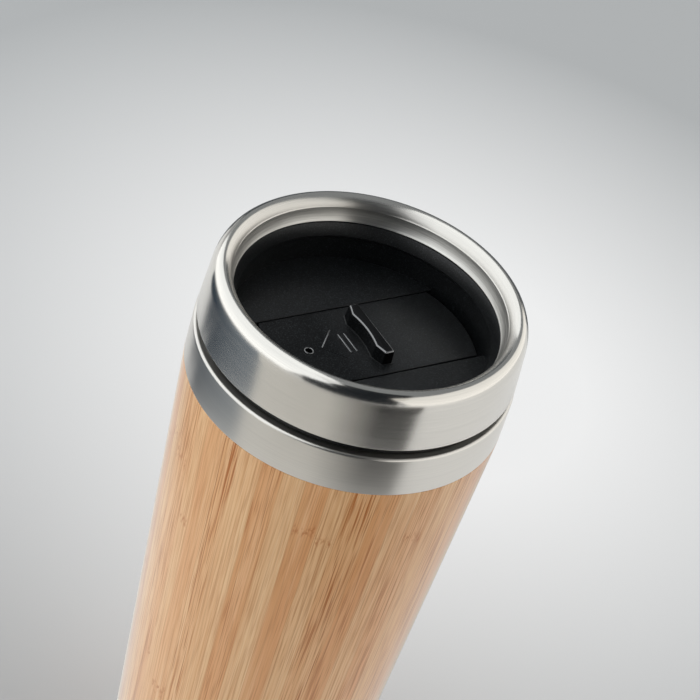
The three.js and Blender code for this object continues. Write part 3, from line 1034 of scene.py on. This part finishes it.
def add_arrow_line(shape, start, end, width=ARROW_LINE, relief=ARROW_RELIEF):
    """One raised line of the arrow, from one point of the strip to another."""
    start = Vector(start)
    end = Vector(end)
    run = (end - start).normalized()
    side = Vector((-run.y, run.x)) * width / 2
    outline = [tuple(start - side), tuple(end - side), tuple(end + side), tuple(start + side)]
    low = TRAY_FLOOR - RAISED_SINK
    add_prism(shape, outline, low, TRAY_FLOOR + relief, edge=ARROW_EDGE, edge_steps=2)


def add_tongues(shape):
    """The two tongues that run in the tray's grooves."""
    wide = STRIP_HALF_WIDTH + TONGUE_REACH
    end = STRIP_END_RADIUS - TONGUE_INSET
    tail = STRIP_TAIL_RADIUS - TONGUE_INSET
    outline = strip_outline(wide, end, tail, STRIP_TAIL_SHIFT)
    for side in (-1, 1):
        reach = [x for x, y in outline if y * side >= wide - NEAR]
        low, high = min(reach), max(reach)
        outer = side * wide
        inner = side * (STRIP_HALF_WIDTH - TONGUE_ROOT)
        block = [(low, inner), (high, inner), (high, outer), (low, outer)]
        add_prism(shape, block, TRAY_BOTTOM, TRAY_BOTTOM + TONGUE_THICKNESS)


def make_slider(material, rubbed, smooth):
    strip = new_shape()
    ends = (STRIP_END_RADIUS, STRIP_TAIL_RADIUS, STRIP_TAIL_SHIFT)
    add_prism(strip, strip_outline(STRIP_HALF_WIDTH, *ends), TRAY_BOTTOM, TRAY_FLOOR, edge=STRIP_EDGE)
    blank = finished(strip, "slider_strip", material)
    recess = new_shape()
    seat = sector_outline(DRINK_INNER - SEAL_LAND, DRINK_OUTER + SEAL_LAND, SEAL_HALF_ANGLE)
    add_prism(recess, seat, TRAY_BOTTOM - CUT_PAST, SEAL_TOP)
    cut(blank, finished(recess, "seal_recess"))
    cut(blank, vent_drill(VENT_OFFSET, TRAY_BOTTOM, TRAY_FLOOR))
    shape = new_shape()
    shape.from_mesh(blank.data)
    bpy.data.objects.remove(blank)
    add_tongues(shape)
    add_thumb_bar(shape)
    worn_end = (ARROW_TAIL, -ARROW_HALF_WIDTH)
    add_arrow_line(shape, (ARROW_TIP, 0), worn_end, ARROW_ARM, ARROW_WORN_RELIEF)
    whole = set(shape.faces)
    add_vent_bead(shape)
    add_arrow_line(shape, (ARROW_TIP, 0), (ARROW_TAIL, ARROW_HALF_WIDTH), ARROW_ARM)
    for bar in ARROW_BARS:
        add_arrow_line(shape, (bar, -ARROW_BAR_HALF), (bar, ARROW_BAR_HALF))
    for face in set(shape.faces) - whole:
        face.material_index = RUBBED
    add_thumb_foot(shape)
    return finished(shape, "slider_moulded", material, rubbed, smooth)


# Everything on its body


def dress(piece, body, node):
    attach(piece, body)
    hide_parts(node)


collar_steel = brushed_steel()
plastic = black_plastic()
satin = liner_steel()
seal_rubber = soft_rubber("silicone", (0.020, 0.020, 0.021), 1500)
foot_rubber = soft_rubber("foot_rubber", (0.016, 0.016, 0.016), 900)

dress(make_foot(foot_rubber), "cup", "foot_pad")
dress(make_cap(collar_steel), "cup", "base_cap")
dress(make_sleeve(bamboo()), "cup", "bamboo_sleeve")
dress(make_liner(satin), "cup", "inner_liner")
dress(make_collar(collar_steel), "cup", "rim_collar")
dress(make_gasket(seal_rubber), "lid_carrier", "lid_gasket")
dress(make_lid_base(plastic), "lid", "lid_base")
dress(make_ring(ring_steel(), drawn_steel()), "lid", "lid_ring")
dress(make_tray(plastic, flare_plastic()), "lid", "lid_tray")
strip = make_slider(strip_plastic(), rubbed_plastic(), smooth_plastic())
dress(strip, "slider", "slider")

for node_name, material in (("outer_shell", satin), ("slider_seal", seal_rubber)):
    node_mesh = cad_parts[node_name].data
    node_mesh.materials.clear()
    node_mesh.materials.append(material)


# Studio


def paper(name, colour):
    """A matt sheet of one colour."""
    finish = Finish(name)
    finish.set(Base_Color=colour, Roughness=PAPER_ROUGHNESS, Specular_IOR_Level=PAPER_GLOSS)
    return finish


def bearing(azimuth, elevation, distance):
    """A point in metres. Its azimuth, in degrees, is counted rightwards from the camera's."""
    turn = math.radians(CAMERA_AZIMUTH + azimuth)
    rise = math.radians(elevation)
    flat = distance * math.cos(rise)
    return Vector((flat * math.cos(turn), flat * math.sin(turn), distance * math.sin(rise)))


def floor_paper():
    """Pale paper that keeps the object's shadow. For the camera it glows with a painted pool of light,
    brightest at one patch and darkening away from it.
    """
    finish = paper("studio_floor", (0.86, 0.865, 0.868, 1))
    from_patch = finish.vector("SUBTRACT", finish.place(), BRIGHT_PATCH)
    away = finish.add("ShaderNodeVectorMath", {0: from_patch}, operation="LENGTH").outputs["Value"]
    ray = finish.add("ShaderNodeLightPath").outputs
    # Painted pool of light: the camera sees the floor's glow darken away from the patch.
    distance = finish.span(away, PATCH_INNER, PATCH_OUTER)
    fade = finish.math("MULTIPLY", distance, ray["Is Camera Ray"])
    colour = finish.mix(fade, (0.96, 0.96, 0.955, 1), (0.25, 0.263, 0.266, 1))
    glow = finish.add("ShaderNodeEmission", {"Color": colour})
    seen = finish.math("MAXIMUM", ray["Is Camera Ray"], ray["Is Glossy Ray"])
    seen = finish.math("MAXIMUM", seen, ray["Is Transmission Ray"])
    finish.show_mix(finish.math("MULTIPLY", seen, FLOOR_GLOW), finish.shader, glow)
    return finish.material


def graded_card(name, start, end, first, last):
    """A card whose shade runs from one to another round the axis. Its back is clear."""
    finish = paper(name, (*first, 1))
    _, angle, _ = finish.round_axis()
    turn = finish.math("SUBTRACT", angle, math.radians(CAMERA_AZIMUTH))
    turn = finish.math("WRAP", turn, math.pi, -math.pi)
    share = finish.span(turn, math.radians(start), math.radians(end))
    finish.set(Base_Color=finish.mix(share, (*first, 1), (*last, 1)))
    back = finish.add("ShaderNodeNewGeometry").outputs["Backfacing"]
    finish.show_mix(back, finish.shader, finish.add("ShaderNodeBsdfTransparent"))
    return finish.material


def make_floor():
    shape = bmesh.new()
    bmesh.ops.create_grid(shape, x_segments=1, y_segments=1, size=FLOOR_SIZE)
    floor = linked("studio_floor", mesh_of(shape, "studio_floor", floor_paper()))


def make_flag(name, azimuth, elevation, width, height, material, shades=False):
    """An upright card that faces the cup. Only reflections see it, unless it also shades."""
    centre = bearing(azimuth, elevation, FLAG_DISTANCE)
    facing = -bearing(azimuth, elevation, 1)
    shape = bmesh.new()
    bmesh.ops.create_grid(shape, x_segments=1, y_segments=1, size=0.5)
    bmesh.ops.scale(shape, verts=shape.verts[:], vec=(width, height, 1))
    turn = facing.to_track_quat("Z", "Y").to_matrix().to_4x4()
    bmesh.ops.transform(shape, verts=shape.verts[:], matrix=Matrix.Translation(centre) @ turn)
    hide_card(linked(name, mesh_of(shape, name, material)), shades)


def make_floor_flag(name, start, end, near, far, material, shades=False):
    """A card on the floor between two azimuths. Reflections see it, and bounced light if it shades."""
    shape = bmesh.new()
    lift = Vector((0, 0, FLAG_LIFT))
    verts = [shape.verts.new(bearing(start, 0, reach) + lift) for reach in (near, far)]
    edge = shape.edges.new(verts)
    turn = math.radians(end - start)
    bmesh.ops.spin(shape, geom=[*verts, edge], cent=(0, 0, 0), axis=(0, 0, 1), angle=turn, steps=8)
    flag = linked(name, mesh_of(shape, name, material))
    hide_card(flag, shades)
    flag.visible_shadow = False


def hide_card(card, shades):
    """Keeps a card out of the picture. Where it shades, it also shadows and takes bounced light."""
    card.visible_camera = False
    card.visible_diffuse = shades
    card.visible_shadow = shades


def make_softbox(name, azimuth, elevation, width, height, power, colour):
    """An area lamp that faces the lid."""
    place = bearing(azimuth, elevation, SOFTBOX_DISTANCE)
    aim = Vector((0, 0, LIGHT_AIM))
    lamp = bpy.data.lights.new(name, "AREA")
    lamp.color = colour
    lamp.shape = "RECTANGLE"
    lamp.size = width
    lamp.size_y = height
    lamp.energy = power
    box = linked(name, lamp)
    box.location = place
    box.rotation_euler = (aim - place).to_track_quat("-Z", "Y").to_euler()


def make_world():
    """Soft light from all round, a little brighter at the horizon than overhead."""
    world = bpy.data.worlds.new("studio")
    bpy.context.scene.world = world
    world.use_nodes = True
    tree = world.node_tree
    background = tree.nodes["Background"]
    coordinate = tree.nodes.new("ShaderNodeTexCoord")
    axes = tree.nodes.new("ShaderNodeSeparateXYZ")
    ramp = tree.nodes.new("ShaderNodeValToRGB")
    tree.links.new(coordinate.outputs["Generated"], axes.inputs["Vector"])
    tree.links.new(axes.outputs["Z"], ramp.inputs["Fac"])
    tree.links.new(ramp.outputs["Color"], background.inputs["Color"])
    low, high = ramp.color_ramp.elements
    low.position = 0.0
    low.color = (0.5, 0.505, 0.51, 1)
    high.position = 0.5
    high.color = (0.27, 0.286, 0.3, 1)
    background.inputs["Strength"].default_value = 1.0


def make_camera():
    lens = bpy.data.cameras.new("photograph")
    lens.sensor_width = SENSOR_WIDTH
    lens.lens = SENSOR_WIDTH * FOCAL_PIXELS / IMAGE_WIDTH
    aim = Vector(CAMERA_AIM).normalized()
    right = aim.cross(Vector((0, 0, 1))).normalized()
    up = right.cross(aim)
    roll = math.radians(CAMERA_ROLL)
    local_x = math.cos(roll) * right + math.sin(roll) * up
    local_y = math.cos(roll) * up - math.sin(roll) * right
    turn = Matrix((local_x, local_y, -aim)).transposed().to_4x4()
    camera = linked("photograph", lens)
    camera.matrix_world = Matrix.Translation(Vector(CAMERA_PLACE) * MM) @ turn
    bpy.context.scene.camera = camera


make_floor()
make_world()
make_camera()
flag_black = paper("flag_black", (0.02, 0.024, 0.03, 1)).material
flag_dark = paper("flag_dark", (0.12, 0.13, 0.14, 1)).material
front_card = graded_card("front_card", -6, 28, (0.79, 0.763, 0.717), (0.05, 0.05, 0.05))
left_card = graded_card("left_card", -112, -57, (0.01, 0.026, 0.048), (0.2, 0.235, 0.275))
make_floor_flag("front_floor_flag", -57, 53, 0.155, 1.2, front_card, shades=True)
make_floor_flag("left_near_floor_flag", -117, -57, 0.16, 0.2, left_card)
make_floor_flag("left_floor_flag", -125, -57, 0.2, 0.9, left_card)
make_floor_flag("back_floor_flag", 150, 210, 0.3, 2.5, flag_dark)
make_flag("back_flag", 180, 9, 1.5, 1.0, flag_dark)
make_flag("low_camera_flag", 5, 10, 2.0, 1.1, flag_black, shades=True)
make_flag("high_camera_flag", 19, 50, 1.35, 1.5, flag_black, shades=True)
make_softbox("left_softbox", -85, 47, 3.0, 1.95, 19.2, (0.955, 0.98, 1.0))
make_softbox("right_softbox", 97, 32, 3.0, 1.1, 8.0, (1.0, 0.97, 0.92))

bpy.context.scene.view_settings.view_transform = "Standard"
